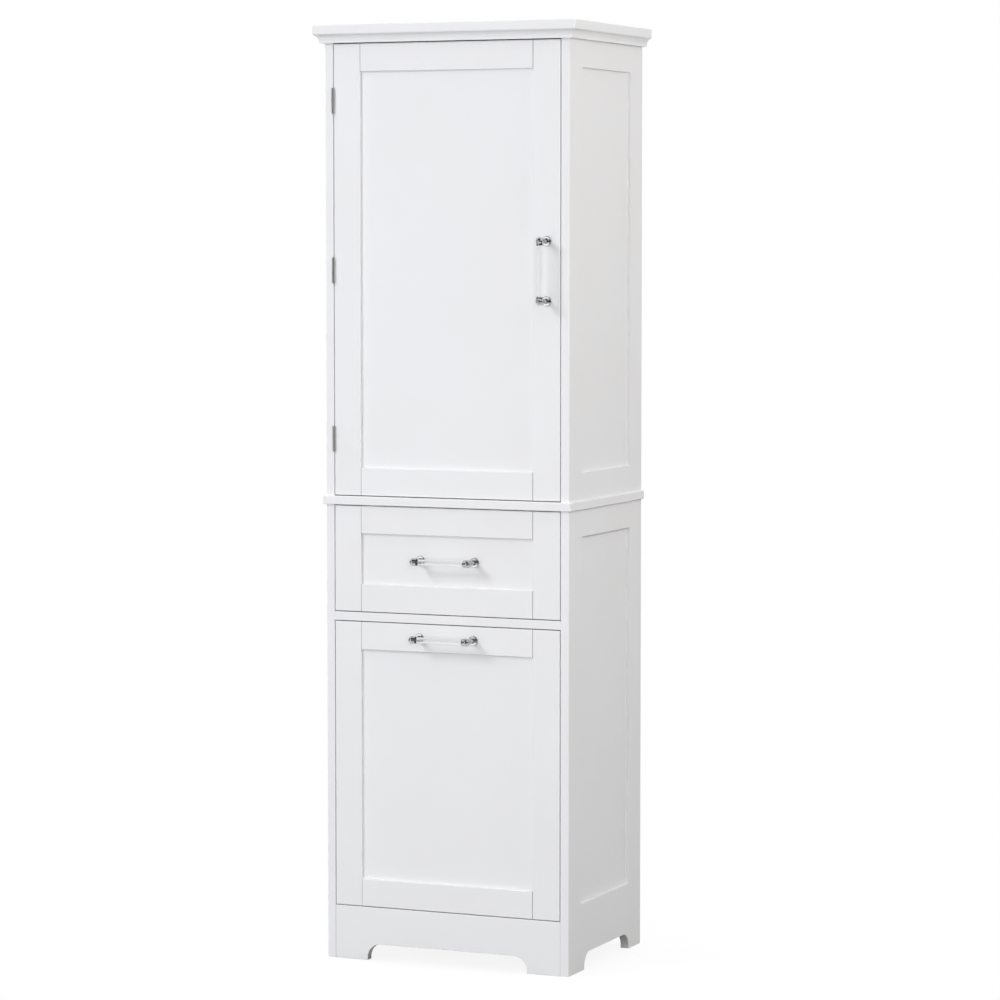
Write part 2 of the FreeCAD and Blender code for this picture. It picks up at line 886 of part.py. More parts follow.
def carcass_parts():
    """Everything that stands still."""
    parts = {
        "crown_slab": crown_slab(),
        "cove_front": cove_front(),
        "cove_right": cove_right(),
        "cove_left": mirrored(cove_right()),
        "top_board": front_edged(inner_board(crown_bottom, slab_bottom)),
        "upper_side_left": upper_side_left(),
        "upper_side_right": upper_side_right(),
        "upper_back": back_panel(mid_board_top, slab_bottom).cut(wall_holes()),
        "hanging_rail": hanging_rail(),
        "shelf_pins": shelf_pins(),
        "door_catch": door_catch(),
        "hinge_frame_leaves": hinge_frame_leaves(),
        "hinge_pins": hinge_pins(),
        "mid_board": mid_board(),
        "lower_side_right": lower_side_right(),
        "lower_side_left": mirrored(lower_side_right()),
        "lower_back": back_panel(floor_bottom - rear_rail_height, mid_bottom),
        "divider_board": front_edged(inner_board(divider_bottom, divider_top)),
        "floor_board": inner_board(floor_bottom, floor_top, y_front_rear),
        "rear_rail": inner_board(floor_bottom - rear_rail_height, floor_bottom, y_back_panel - board),
        "apron": apron(),
        "cabinet_runners": pair(cabinet_runner()),
        "pivot_bushes": pivot_bushes(),
        "stop_pins": stop_pins(),
    }
    for number, level in enumerate(shelf_levels(), start=1):
        parts[f"shelf_{number}"] = shelf(level)
    return parts


def door_parts():
    """Everything that swings with the door."""
    place = (door_pull_x, door_pull_z)
    return {
        "door_stiles": door_stiles(),
        "door_rails": front_rails(door_low, door_high),
        "door_panel": front_panel(door_low, door_high),
        "hinge_door_leaves": hinge_door_leaves(),
        "strike_plate": strike_plate(),
        "door_pull_posts": pull_posts(*place, y_front, Z_AXIS),
        "door_pull_bar": pull_bar(*place, y_front, Z_AXIS),
        "door_pull_screws": pull_screws(*place, y_front, y_front_rear, Z_AXIS),
    }


def drawer_parts():
    """Everything that slides with the drawer, and the rollers."""
    place = (0.0, drawer_pull_z)
    return {
        "drawer_stiles": front_stiles(drawer_low, drawer_high),
        "drawer_rails": front_rails(drawer_low, drawer_high),
        "drawer_panel": front_panel(drawer_low, drawer_high).cut(pull_screw_holes(*place, X_AXIS)),
        "drawer_side_right": drawer_side_right(),
        "drawer_side_left": mirrored(drawer_side_right()),
        "drawer_back": drawer_back(),
        "drawer_bottom": drawer_bottom(),
        "drawer_runners": pair(drawer_runner()),
        "front_rollers": front_rollers(),
        "rear_rollers": rear_rollers(),
        "drawer_pull_posts": pull_posts(*place, y_panel_face, X_AXIS),
        "drawer_pull_bar": pull_bar(*place, y_panel_face, X_AXIS),
        "drawer_pull_screws": pull_screws(*place, y_panel_face, y_panel_rear, X_AXIS),
    }


def hamper_parts():
    """Everything that tilts with the hamper."""
    place = (0.0, hamper_pull_z)
    return {
        "hamper_stiles": hamper_stiles(),
        "hamper_rails": front_rails(hamper_low, hamper_high).cut(pull_screw_holes(*place, X_AXIS)),
        "hamper_panel": front_panel(hamper_low, hamper_high),
        "bin_side_right": bin_side_right(),
        "bin_side_left": mirrored(bin_side_right()),
        "bin_back": bin_back(),
        "bin_bottom": bin_bottom(),
        "pivot_pins": pivot_pins(),
        "hamper_pull_posts": pull_posts(*place, y_front, X_AXIS),
        "hamper_pull_bar": pull_bar(*place, y_front, X_AXIS),
        "hamper_pull_screws": pull_screws(*place, y_front, y_front_rear, X_AXIS),
    }


os.makedirs("parts", exist_ok=True)
for node, shape in {**carcass_parts(), **door_parts(), **drawer_parts(), **hamper_parts()}.items():
    if not shape.isValid():
        raise ValueError(f"{node} is not a valid shape")
    shape.exportStep(f"parts/{node}.step")
    print(node, len(shape.Solids), round(shape.Volume / 1000.0, 2), "cm3")
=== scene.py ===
"""A tall linen cabinet: finishes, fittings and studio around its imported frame."""

from __future__ import annotations

import json
import logging
import math
from abc import ABC, abstractmethod
from dataclasses import dataclass, field
from enum import Enum
from typing import Any, Iterable, Optional, Sequence, Union

import bmesh
import bpy
from mathutils import Matrix, Vector

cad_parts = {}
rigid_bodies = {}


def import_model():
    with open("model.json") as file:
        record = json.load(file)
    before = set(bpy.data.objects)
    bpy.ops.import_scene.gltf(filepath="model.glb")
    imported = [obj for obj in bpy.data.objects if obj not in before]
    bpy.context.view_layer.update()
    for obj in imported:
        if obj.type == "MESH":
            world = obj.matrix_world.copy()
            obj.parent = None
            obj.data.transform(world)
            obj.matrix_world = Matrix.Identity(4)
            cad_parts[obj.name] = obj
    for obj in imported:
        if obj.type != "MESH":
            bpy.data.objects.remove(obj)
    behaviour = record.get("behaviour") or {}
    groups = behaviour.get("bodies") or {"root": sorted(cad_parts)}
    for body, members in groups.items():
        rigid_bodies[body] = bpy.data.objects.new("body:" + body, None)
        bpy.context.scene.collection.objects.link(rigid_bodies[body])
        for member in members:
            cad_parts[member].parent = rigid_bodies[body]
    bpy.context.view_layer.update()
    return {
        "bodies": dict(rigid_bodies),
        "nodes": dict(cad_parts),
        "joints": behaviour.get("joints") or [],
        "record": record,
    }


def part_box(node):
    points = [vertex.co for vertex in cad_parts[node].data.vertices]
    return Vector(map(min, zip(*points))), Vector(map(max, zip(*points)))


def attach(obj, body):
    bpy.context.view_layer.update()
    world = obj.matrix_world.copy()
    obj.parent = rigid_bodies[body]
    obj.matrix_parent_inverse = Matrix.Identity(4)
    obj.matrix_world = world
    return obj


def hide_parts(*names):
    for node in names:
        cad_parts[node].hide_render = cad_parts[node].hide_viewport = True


LOG = logging.getLogger("linen_cabinet")
MM = 0.001
WELD = 1e-6
OUT = Vector((0.0, -1.0, 0.0))
SIDES = (-1.0, 1.0)
WHITE = (1.0, 1.0, 1.0, 1.0)

# Facets across a plate's rounded edge.
PLATE_EDGE_STEPS = 2
# Facets in a full turn.
BAR_STEPS = 64
TURN_STEPS = 48
RING_STEPS = 32
SCREW_STEPS = 24
SHANK_STEPS = 16
NAIL_STEPS = 12

# Sockets of the Mix node for its share, its two colours and its result.
MIX_SHARE, MIX_FIRST, MIX_SECOND, MIX_RESULT = 0, 6, 7, 2

Pair = tuple[float, float]
Triple = tuple[float, float, float]
Colour = Triple
Profile = Sequence[Pair]
Key = Union[str, int]
Settings = Optional[dict[str, Any]]
Feeds = Optional[dict[Key, Any]]


class Body(Enum):
    """The rigid bodies of the cabinet."""

    CARCASS = "carcass"
    DOOR = "door"
    DRAWER = "drawer"
    HAMPER = "hamper"


class Way(Enum):
    """The direction in which a pull's bar runs."""

    LEVEL = (1.0, 0.0, 0.0)
    UPRIGHT = (0.0, 0.0, 1.0)

    def vector(self) -> Vector:
        """The direction as a unit vector."""
        return Vector(self.value)


class Fold(Enum):
    """How a node that is two like boards is folded onto one of them."""

    NONE = -1
    ACROSS = 0
    UP = 2


@dataclass
class Signal:
    """An output socket in a shader's graph, on which ordinary sums can be written."""

    graph: Graph
    socket: bpy.types.NodeSocket

    def math(self, operation: str, *values: Number) -> Signal:
        """Adds a Math node.

        Args:
            operation: The Math node's operation.
            *values: What feeds its sockets, in order.

        Returns:
            The node's result.
        """
        feeds = dict(enumerate(values))
        return self.graph.signal("ShaderNodeMath", {"operation": operation}, feeds)

    def __add__(self, other: Number) -> Signal:
        """This plus the other."""
        return self.math("ADD", self, other)

    def __radd__(self, other: Number) -> Signal:
        """The other plus this."""
        return self.math("ADD", other, self)

    def __sub__(self, other: Number) -> Signal:
        """This less the other."""
        return self.math("SUBTRACT", self, other)

    def __rsub__(self, other: Number) -> Signal:
        """The other less this."""
        return self.math("SUBTRACT", other, self)

    def __mul__(self, other: Number) -> Signal:
        """This times the other."""
        return self.math("MULTIPLY", self, other)

    def __rmul__(self, other: Number) -> Signal:
        """The other times this."""
        return self.math("MULTIPLY", other, self)

    def __abs__(self) -> Signal:
        """This without its sign."""
        return self.math("ABSOLUTE", self)

    def least(self, other: Number) -> Signal:
        """The smaller of this and the other."""
        return self.math("MINIMUM", self, other)

    def most(self, other: Number) -> Signal:
        """The larger of this and the other."""
        return self.math("MAXIMUM", self, other)

    def eased(self, start: float, end: float) -> Signal:
        """Maps this smoothly onto 0 to 1.

        Args:
            start: The value that gives 0.
            end: The value that gives 1.

        Returns:
            The eased value.
        """
        settings = {"interpolation_type": "SMOOTHSTEP"}
        feeds = {"Value": self, "From Min": start, "From Max": end}
        return self.graph.signal("ShaderNodeMapRange", settings, feeds)

    def centred(self) -> Signal:
        """A value from 0 to 1, moved to lie evenly round 0."""
        return self - 0.5


Number = Union[Signal, float]
Tone = Union[Signal, Colour]
Folds = dict[str, tuple[Fold, float]]


class Graph:
    """A node tree that is filled by one node-making method."""

    def __init__(self, tree: bpy.types.NodeTree) -> None:
        """Empties the tree of a material or of the world, and takes it over."""
        self.tree = tree
        tree.nodes.clear()

    def node(self, kind: str, settings: Settings = None, feeds: Feeds = None) -> bpy.types.Node:
        """Adds one node.

        Args:
            kind: The node's type.
            settings: Its own settings, set first.
            feeds: Values or links for its sockets, by name or number.

        Returns:
            The node.
        """
        made = self.tree.nodes.new(kind)
        for key, value in (settings or {}).items():
            setattr(made, key, value)
        for key, value in (feeds or {}).items():
            if isinstance(value, Signal):
                self.tree.links.new(value.socket, made.inputs[key])
            else:
                made.inputs[key].default_value = value
        return made

    def signal(
        self, kind: str, settings: Settings = None, feeds: Feeds = None, output: Key = 0
    ) -> Signal:
        """Adds one node and reads one of its outputs.

        Args:
            kind: The node's type.
            settings: Its own settings.
            feeds: Values or links for its sockets.
            output: The output to read, by name or number.

        Returns:
            That output.
        """
        return Signal(self, self.node(kind, settings, feeds).outputs[output])

    def place(self) -> Signal:
        """The Object coordinates."""
        return self.signal("ShaderNodeTexCoord", output="Object")

    def axes(self) -> list[Signal]:
        """The Object coordinates, one axis at a time."""
        split = self.node("ShaderNodeSeparateXYZ", feeds={0: self.place()})
        return [Signal(self, output) for output in split.outputs]

    def shifted(self, offset: Sequence[float], scale: Triple = (1.0, 1.0, 1.0)) -> Signal:
        """Object coordinates moved and stretched.

        Args:
            offset: How far a pattern is moved, in metres.
            scale: How far it is squeezed along each axis.

        Returns:
            The mapped coordinates.
        """
        feeds = {"Vector": self.place(), "Location": tuple(offset), "Scale": tuple(scale)}
        return self.signal("ShaderNodeMapping", feeds=feeds)

    def noise(self, at: Signal, scale: float, detail: float = 2.0, rough: float = 0.5) -> Signal:
        """Soft noise from 0 to 1.

        Args:
            at: The coordinates to read it at.
            scale: Features to the metre.
            detail: Octaves.
            rough: How strong the finer octaves are.

        Returns:
            The noise value.
        """
        feeds = {"Vector": at, "Scale": scale, "Detail": detail, "Roughness": rough}
        return self.signal("ShaderNodeTexNoise", feeds=feeds)

    def blend(self, share: Number, first: Tone, second: Tone) -> Signal:
        """Mixes two colours.

        Args:
            share: How much of the second colour there is.
            first: The colour at 0.
            second: The colour at 1.

        Returns:
            The mixed colour.
        """
        pair = [c if isinstance(c, Signal) else (*c, 1.0) for c in (first, second)]
        feeds = {MIX_SHARE: share, MIX_FIRST: pair[0], MIX_SECOND: pair[1]}
        return self.signal("ShaderNodeMix", {"data_type": "RGBA"}, feeds, MIX_RESULT)

    def mixed(self, share: Signal, first: Signal, second: Signal) -> Signal:
        """Mixes two shaders, by the share of the second."""
        return self.signal("ShaderNodeMixShader", feeds={0: share, 1: first, 2: second})

    def bump(self, height: Signal, depth: float, strength: float) -> Signal:
        """A bumped normal.

        Args:
            height: The height, from 0 to 1.
            depth: What a height of 1 stands for, in metres.
            strength: How much of it shows.

        Returns:
            The normal.
        """
        feeds = {"Height": height, "Distance": depth, "Strength": strength}
        return self.signal("ShaderNodeBump", feeds=feeds, output="Normal")

    def principled(self, **feeds: Any) -> Signal:
        """Adds a principled shader.

        Args:
            **feeds: Its sockets, with underscores for spaces.

        Returns:
            The shader.
        """
        named = {key.replace("_", " "): value for key, value in feeds.items()}
        return self.signal("ShaderNodeBsdfPrincipled", feeds=named)

    def show(self, shader: Signal) -> None:
        """Makes a shader the material's surface."""
        self.node("ShaderNodeOutputMaterial", feeds={"Surface": shader})


def placed(name: str, data: bpy.types.ID) -> bpy.types.Object:
    """Makes an object and puts it in the scene.

    Args:
        name: The object's name.
        data: Its mesh, lamp or camera.

    Returns:
        The object.
    """
    made = bpy.data.objects.new(name, data)
    bpy.context.scene.collection.objects.link(made)
    return made


def new_graph(name: str) -> tuple[bpy.types.Material, Graph]:
    """Makes an empty material.

    Args:
        name: The material's name.

    Returns:
        The material and the graph to fill.
    """
    material = bpy.data.materials.new(name)
    material.use_nodes = True
    return material, Graph(material.node_tree)


@dataclass(frozen=True)
class Extent:
    """The box of one board, in metres, with the fold that brings its twin onto it."""

    low: Triple
    high: Triple
    fold: Fold = Fold.NONE
    fold_at: float = 0.0

    @classmethod
    def of(cls, node: str, fold: Fold = Fold.NONE, inner: float = 0.0) -> Extent:
        """Reads a node's box.

        Args:
            node: The CAD node.
            fold: How its two boards are folded onto one.
            inner: The width of one of the two boards.

        Returns:
            The extent of the one board.
        """
        low, high = (list(corner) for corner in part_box(node))
        middle = 0.0
        if fold is not Fold.NONE:
            axis = fold.value
            middle = (low[axis] + high[axis]) / 2
            high[axis] -= middle
            low[axis] = high[axis] - inner
        return cls(tuple(low), tuple(high), fold, middle)


@dataclass(frozen=True)
class Arch:
    """The arch sawn out of a board's foot.

    The axes through the board and along it go by number, and start and end are in millimetres.
    Painted light below says how far painted light lifts the dark of the sawn edge towards the
    ground.
    """

    across: int
    along: int
    start: float
    end: float
    painted_light_below: float = 0.0


@dataclass(frozen=True)
class SatinPaint:
    """White satin paint, sprayed on board: slow drift, fine orange peel, and arrises rubbed
    glossier and painted lighter as a painted highlight.
    """

    colour: Colour = (0.865, 0.868, 0.872)
    drift_colour: Colour = (0.850, 0.850, 0.850)
    # A lighter colour for the arrises: a painted highlight.
    edge_highlight_colour: Colour = (0.885, 0.886, 0.888)
    foot_colour: Colour = (0.815, 0.812, 0.806)
    roughness: float = 0.42
    specular: float = 0.42
    seed_step: Triple = (0.37, 0.91, 0.53)
    cloud_gloss: float = 0.10
    edge_width: float = 3.0 * MM
    edge_highlight_shown: float = 0.6
    edge_gloss: float = 0.07
    scuff_height: float = 14.0 * MM
    scuff_shown: float = 0.5
    scuff_gloss: float = 0.10
    # A dark line of painted shade and dust in the seams where rails meet stiles.
    joint_shade_colour: Colour = (0.20, 0.20, 0.20)
    joint_width: float = 0.9 * MM
    joint_fade: Pair = (-0.3 * MM, 0.2 * MM)
    # The sawn edge: a raw board colour, made dark enough to be painted shade under the arch as
    # well.
    sawn_and_shade_colour: Colour = (0.43, 0.42, 0.395)
    sawn_height: float = 60.0 * MM
    sawn_fade: float = 2.0 * MM
    # Painted light: how high above the ground the sawn edge is lightened.
    sawn_painted_light: float = 34.0 * MM
    sawn_behind: Pair = (0.9 * MM, 1.6 * MM)
    sawn_ends: Pair = (-0.6 * MM, -0.2 * MM)

    def material(
        self,
        name: str,
        extent: Extent,
        seed: int,
        shaded_joints: Pair = (0.0, 0.0),
        arch: Optional[Arch] = None,
    ) -> bpy.types.Material:
        """Makes the paint of one board.

        Args:
            name: The material's name.
            extent: The board's box.
            seed: A number that moves its pattern away from its neighbours'.
            shaded_joints: How dark the painted shade is in the seams at its left and right ends.
            arch: The arch sawn out of its foot, if there is one.

        Returns:
            The material.
        """
        material, graph = new_graph(name)
        at = graph.shifted([step * seed for step in self.seed_step])
        drift = graph.noise(at, scale=4.5, detail=3.0, rough=0.55)
        cloud = graph.noise(at, scale=38.0)
        peel = graph.noise(at, scale=420.0, rough=0.6)
        edge = self.edge(graph, extent)
        height = graph.axes()[2]
        low = 1.0 - height.eased(0.0, self.scuff_height)
        scuff = low * cloud.eased(start=0.35, end=0.7)
        tone = graph.blend(drift.eased(start=0.3, end=0.75), self.colour, self.drift_colour)
        # Arrises painted lighter: a painted highlight. Their lower roughness further down is the
        # rubbed paint.
        tone = graph.blend(edge * self.edge_highlight_shown, tone, self.edge_highlight_colour)
        tone = graph.blend(scuff * self.scuff_shown, tone, self.foot_colour)
        # Painted shade in the seam at each end, as strong as shaded_joints says.
        for side, dark in zip(SIDES, shaded_joints):
            if dark:
                line = self.joint(graph, extent, side) * dark
                tone = graph.blend(line, tone, self.joint_shade_colour)
        # Sawn edge darkened as painted shade, and lightened near the ground as painted light.
        if arch:
            tone = graph.blend(self.sawn_edge_and_shade(graph, extent, arch), tone, self.sawn_and_shade_colour)
        gloss = self.roughness + cloud.centred() * self.cloud_gloss
        gloss = gloss - edge * self.edge_gloss + scuff * self.scuff_gloss
        shader = graph.principled(
            Base_Color=tone,
            Roughness=gloss,
            Specular_IOR_Level=self.specular,
            Normal=graph.bump(peel, depth=0.05 * MM, strength=0.5),
        )
        graph.show(shader)
        return material

    def joint(self, graph: Graph, extent: Extent, side: float) -> Signal:
        """The fine dark line of painted shade and dust where a board's end meets its neighbour.

        Args:
            graph: The material's graph.
            extent: The board's box.
            side: -1 for its left end, 1 for its right end.

        Returns:
            The line's strength.
        """
        run = graph.axes()[0] * side
        start = extent.high[0] - self.joint_width
        return run.eased(*(start + step for step in self.joint_fade))

    def sawn_edge_and_shade(self, graph: Graph, extent: Extent, arch: Arch) -> Signal:
        """The thinly primed sawn edge behind the face of an arched board, set darker as painted
        shade under the arch and lighter towards the ground as painted light.

        Args:
            graph: The material's graph.
            extent: The board's box.
            arch: The arch.

        Returns:
            1 on the sawn edge, less near the ground where painted light lifts it, 0 on the painted
            face.
        """
        axes = graph.axes()
        across, along, up = axes[arch.across], axes[arch.along], axes[2]
        face = max(abs(extent.low[arch.across]), abs(extent.high[arch.across]))
        behind = (face - abs(across)).eased(*self.sawn_behind)
        low = 1.0 - up.eased(self.sawn_height - self.sawn_fade, self.sawn_height)
        ends = (along - arch.start * MM).least(arch.end * MM - along)
        inside = ends.eased(*self.sawn_ends)
        # Painted light: the sawn edge lighter towards the ground.
        painted_light = (1.0 - up.eased(0.0, self.sawn_painted_light)) * arch.painted_light_below
        return behind * low * inside * (1.0 - painted_light)

    def edge(self, graph: Graph, extent: Extent) -> Signal:
        """How near a point is to an arris of its board.

        Args:
            graph: The material's graph.
            extent: The board's box.

        Returns:
            1 on an arris, falling to 0 a few millimetres away.
        """
        gaps: list[Signal] = []
        for axis, run in enumerate(graph.axes()):
            if extent.fold.value == axis:
                run = abs(run - extent.fold_at)
            gaps.append((run - extent.low[axis]).least(extent.high[axis] - run))
        total = gaps[0] + gaps[1] + gaps[2]
        nearest = gaps[0].least(gaps[1]).least(gaps[2])
        furthest = gaps[0].most(gaps[1]).most(gaps[2])
        return 1.0 - (total - nearest - furthest).eased(0.0, self.edge_width)


class Finish(ABC):
    """A finish that several nodes share."""

    name: str

    def material(self) -> bpy.types.Material:
        """Makes the finish.

        Returns:
            The material.
        """
        material, graph = new_graph(self.name)
        self.fill(graph)
        return material

    @abstractmethod
    def fill(self, graph: Graph) -> None:
        """Fills the graph of the finish.

        Args:
            graph: The material's graph.
        """


@dataclass(frozen=True)
class PressedFace(Finish):
    """A pale pressed paper or melamine face with a fine pebble in it."""

    name: str
    colour: Colour
    mottle: Colour
    roughness: float
    pebble: float
    specular: float = 0.4
    mottle_gloss: float = 0.12

    def fill(self, graph: Graph) -> None:
        """Fills the graph of the finish.

        Args:
            graph: The material's graph.
        """
        at = graph.place()
        mottle = graph.noise(at, scale=22.0, detail=4.0, rough=0.6)
        pebble = graph.noise(at, scale=self.pebble, rough=0.6)
        shader = graph.principled(
            Base_Color=graph.blend(mottle.eased(start=0.35, end=0.72), self.colour, self.mottle),
            Roughness=self.roughness + mottle.centred() * self.mottle_gloss,
            Specular_IOR_Level=self.specular,
            Normal=graph.bump(pebble, depth=0.06 * MM, strength=0.6),
        )
        graph.show(shader)


@dataclass(frozen=True)
class PlatedMetal(Finish):
    """A plated metal: bright, brushed or dull by its roughness and the length of its scratches."""

    name: str
    colour: Colour
    shade: Colour
    roughness: float
    scratch: float
    stretch: Triple = (1.0, 1.0, 1.0)

    def fill(self, graph: Graph) -> None:
        """Fills the graph of the finish.

        Args:
            graph: The material's graph.
        """
        at = graph.shifted((0.0, 0.0, 0.0), self.stretch)
        lines = graph.noise(at, scale=900.0, rough=0.65)
        bloom = graph.noise(graph.place(), scale=140.0, detail=3.0)
        worn = [noise.centred() * self.scratch for noise in (lines, bloom)]
        shader = graph.principled(
            Base_Color=graph.blend(bloom.eased(start=0.3, end=0.75), self.colour, self.shade),
            Metallic=1.0,
            Roughness=self.roughness + worn[0] + worn[1],
            Normal=graph.bump(lines, depth=0.01 * MM, strength=0.25),
        )
        graph.show(shader)


@dataclass(frozen=True)
class ClearAcrylic(Finish):
    """Cast acrylic, clear and polished, with a breath of handling haze."""

    name: str = "clear_acrylic"
    colour: Colour = (0.985, 0.990, 0.990)
    roughness: float = 0.015
    haze: float = 0.03
    index: float = 1.49
    passed: float = 0.48

    def fill(self, graph: Graph) -> None:
        """Fills the graph of the finish.

        Args:
            graph: The material's graph.
        """
        haze = graph.noise(graph.place(), scale=60.0, detail=3.0)
        body = graph.principled(
            Base_Color=(*self.colour, 1.0),
            Roughness=self.roughness + haze.eased(start=0.5, end=0.85) * self.haze,
            IOR=self.index,
            Transmission_Weight=1.0,
        )
        shadow = graph.signal("ShaderNodeLightPath", output="Is Shadow Ray")
        light = graph.signal("ShaderNodeBsdfTransparent")
        graph.show(graph.mixed(shadow * self.passed, body, light))


@dataclass(frozen=True)
class MouldedPlastic(Finish):
    """Moulded plastic with a spark-eroded grain."""

    name: str
    colour: Colour
    shade: Colour
    roughness: float = 0.5
    cloud_gloss: float = 0.15

    def fill(self, graph: Graph) -> None:
        """Fills the graph of the finish.

        Args:
            graph: The material's graph.
        """
        cloud = graph.noise(graph.place(), scale=90.0, detail=3.0)
        grain = graph.noise(graph.place(), scale=1500.0)
        shader = graph.principled(
            Base_Color=graph.blend(cloud.eased(start=0.3, end=0.75), self.colour, self.shade),
            Roughness=self.roughness + cloud.centred() * self.cloud_gloss,
            Normal=graph.bump(grain, depth=0.03 * MM, strength=0.5),
        )
        graph.show(shader)


@dataclass(frozen=True)
class CrossHead:
    """The shape of a cross-head screw, as shares of its radius and height."""

    rim: float = 0.62
    side: float = 0.35
    shoulder_height: float = 0.8
    shoulder_radius: float = 0.85
    sill: float = 0.12
    arm: float = 0.48
    arm_half: float = 0.13
    recess: float = 0.6


CROSS_HEAD = CrossHead()


class Form:
    """A mesh in the making, shaped with bmesh operators and then handed over as a piece."""

    def __init__(self) -> None:
        """Starts with an empty mesh."""
        self.mesh = bmesh.new()

    def turned(
        self, profile: Profile, foot: Vector, along: Vector, steps: int = TURN_STEPS
    ) -> None:
        """Turns a profile round an axis, as on a lathe.

        Args:
            profile: Distance along the axis and radius of each point, in metres.
            foot: Where the distances start.
            along: The axis, a unit vector.
            steps: Facets in a full turn.
        """
        side = along.orthogonal().normalized()
        places = [foot + along * reach + side * radius for reach, radius in profile]
        points = [self.mesh.verts.new(place) for place in places]
        edges = [self.mesh.edges.new(pair) for pair in zip(points, points[1:])]
        bmesh.ops.spin(
            self.mesh,
            geom=points + edges,
            cent=foot,
            axis=along,
            angle=2 * math.pi,
            steps=steps,
            use_merge=True,
        )

    def plate(self, low: Vector, high: Vector, edge: float) -> None:
        """Adds a block with rounded edges.

        Args:
            low: Its lowest corner.
            high: Its highest corner.
            edge: The rounding of its edges.
        """
        size = Matrix.Diagonal((*(high - low), 1.0))
        middle = Matrix.Translation((low + high) / 2)
        made = bmesh.ops.create_cube(self.mesh, size=1.0, matrix=middle @ size)
        edges = list({e for v in made["verts"] for e in v.link_edges})
        bmesh.ops.bevel(
            self.mesh,
            geom=edges,
            offset=edge,
            segments=PLATE_EDGE_STEPS,
            profile=0.5,
            affect="EDGES",
            material=-1,
        )

    def screw_head(self, foot: Vector, outward: Vector, radius: float, height: float) -> None:
        """Adds a round screw head with a cross recess.

        Args:
            foot: The middle of its underside.
            outward: The way that it faces.
            radius: Its radius.
            height: Its height.
        """
        shape = CROSS_HEAD
        profile = [
            (0.0, 0.0),
            (0.0, radius),
            (shape.side * height, radius),
            (shape.shoulder_height * height, shape.shoulder_radius * radius),
            (height, shape.rim * radius),
        ]
        self.turned(profile, foot, outward, SCREW_STEPS)
        bmesh.ops.remove_doubles(self.mesh, verts=self.mesh.verts, dist=WELD)
        crown = foot + outward * height
        sill = crown - outward * shape.sill * height
        ring = [e for e in self.mesh.edges if e.is_boundary and self._on_plane(e, crown, outward)]
        across = outward.orthogonal().normalized()
        up = outward.cross(across)
        arm, half = shape.arm * radius, shape.arm_half * radius
        bend = (arm + half) / 2
        outline = ((arm, 0.0), (arm, half), (bend, half), (half, half), (half, bend), (half, arm))
        span: list[bmesh.types.BMVert] = []
        for quarter in range(4):
            turn = Matrix.Rotation(quarter * math.pi / 2, 3, outward)
            for x, y in outline:
                span.append(self.mesh.verts.new(sill + turn @ (across * x + up * y)))
        cross = [self.mesh.edges.new(pair) for pair in zip(span, span[1:] + span[:1])]
        bmesh.ops.bridge_loops(self.mesh, edges=ring + cross)
        sunk = bmesh.ops.extrude_edge_only(self.mesh, edges=cross)["geom"]
        floor = [g for g in sunk if isinstance(g, bmesh.types.BMVert)]
        bmesh.ops.translate(self.mesh, verts=floor, vec=-outward * shape.recess * height)
        bottom = [g for g in sunk if isinstance(g, bmesh.types.BMEdge)]
        bmesh.ops.edgeloop_fill(self.mesh, edges=bottom)

    @staticmethod
    def _on_plane(edge: bmesh.types.BMEdge, point: Vector, normal: Vector) -> bool:
        """Whether both ends of an edge lie on a plane."""
        return all(abs((v.co - point).dot(normal)) < WELD for v in edge.verts)

    def piece(
        self,
        name: str,
        body: Body,
        slot: str,
        finishes: Finishes,
        finish: str = "",
        replaced: Iterable[str] = (),
        sharp: float = 32.0,
    ) -> None:
        """Closes the mesh and hands it over as a piece that rides on a body.

        Args:
            name: The piece's name.
            body: The body that it rides on.
            slot: The record's material slot.
            finishes: The cabinet's finishes.
            finish: Its finish, where that isn't named like the slot.
            replaced: CAD nodes that it stands for.
            sharp: Edges bent by more than this many degrees stay sharp.
        """
        bmesh.ops.remove_doubles(self.mesh, verts=self.mesh.verts, dist=WELD)
        bmesh.ops.recalc_face_normals(self.mesh, faces=self.mesh.faces)
        data = bpy.data.meshes.new(name)
        self.mesh.to_mesh(data)
        self.mesh.free()
        data.polygons.foreach_set("use_smooth", [True] * len(data.polygons))
        data.set_sharp_from_angle(angle=math.radians(sharp))
        data.materials.append(finishes.shared[finish or slot])
        made = placed(name, data)
        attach(made, body.value)
        nodes = tuple(replaced)
        if nodes:
            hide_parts(*nodes)
        LOG.info("%s: %d faces on %s", name, len(data.polygons), body.value)


def arc(
    reach: float, radius: float, size: float, start: float, end: float, count: int
) -> list[Pair]:
    """Points of a round part of a turned profile.

    Args:
        reach: Where the arc's middle is along the axis.
        radius: How far the arc's middle is from the axis.
        size: The arc's own radius.
        start: Its first angle in degrees, from the axis towards the side.
        end: Its last angle.
        count: How many points it has.

    Returns:
        Distance and radius of each point.
    """
    turns = [math.radians(start + (end - start) * i / (count - 1)) for i in range(count)]
    return [(reach + size * math.cos(t), max(0.0, radius + size * math.sin(t))) for t in turns]


def in_metres(profile: Profile) -> list[Pair]:
    """A profile in millimetres, turned into metres."""
    return [(reach * MM, radius * MM) for reach, radius in profile]


def corners(node: str) -> tuple[Vector, Vector]:
    """The lowest and the highest corner of a CAD node's box."""
    low, high = (Vector(corner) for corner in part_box(node))
    return low, high


APRON_ARCH = Arch(across=1, along=0, start=-149.0, end=149.0)
SIDE_ARCH = Arch(across=0, along=1, start=-76.6, end=128.4, painted_light_below=0.7)
BRUSHED_UP = (1.0, 1.0, 0.08)
BRUSHED_ACROSS = (0.08, 1.0, 1.0)


